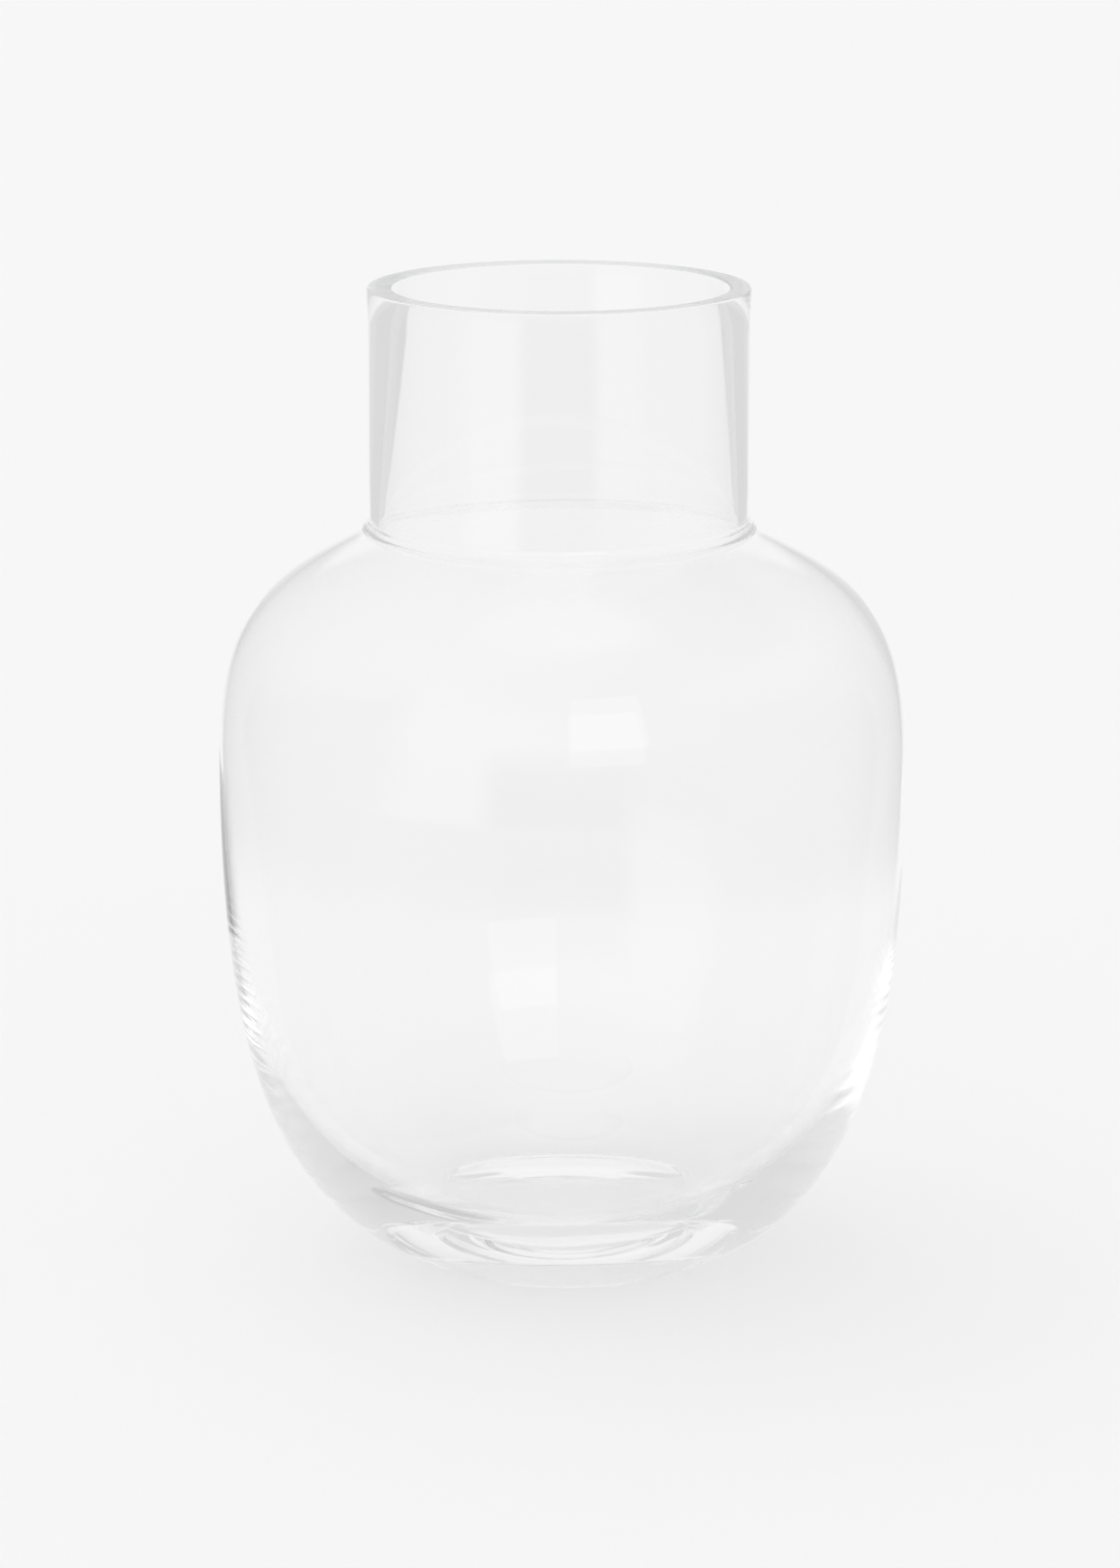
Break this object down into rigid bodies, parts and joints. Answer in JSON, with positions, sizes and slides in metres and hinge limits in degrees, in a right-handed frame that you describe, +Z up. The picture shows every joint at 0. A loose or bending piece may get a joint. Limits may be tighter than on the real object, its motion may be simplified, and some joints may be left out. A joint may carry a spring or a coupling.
{
  "type": "vase",
  "caption": "Clear glass vase with a round body, a straight cylindrical neck, a ground flat rim and a heavy base.",
  "frame": {"origin": "centre of the circle that the vase stands on, in the plane of the surface under it", "axes": "+Z up along the axis that the vase is turned about; X and Y are equal, because the vase is round"},
  "size_m": [0.17, 0.17, 0.244],
  "materials": {
    "clear_glass": "fire-polished, clear and colourless",
    "ground_glass": "ground flat and polished, slightly satin"
  },
  "bodies": {
    "root": {"rim": "ground_glass", "neck": "clear_glass", "shoulder": "clear_glass", "upper_belly": "clear_glass", "lower_belly": "clear_glass", "lower_body": "clear_glass", "heel": "clear_glass", "base": "clear_glass", "foot_ring": "clear_glass"}
  },
  "joints": []
}
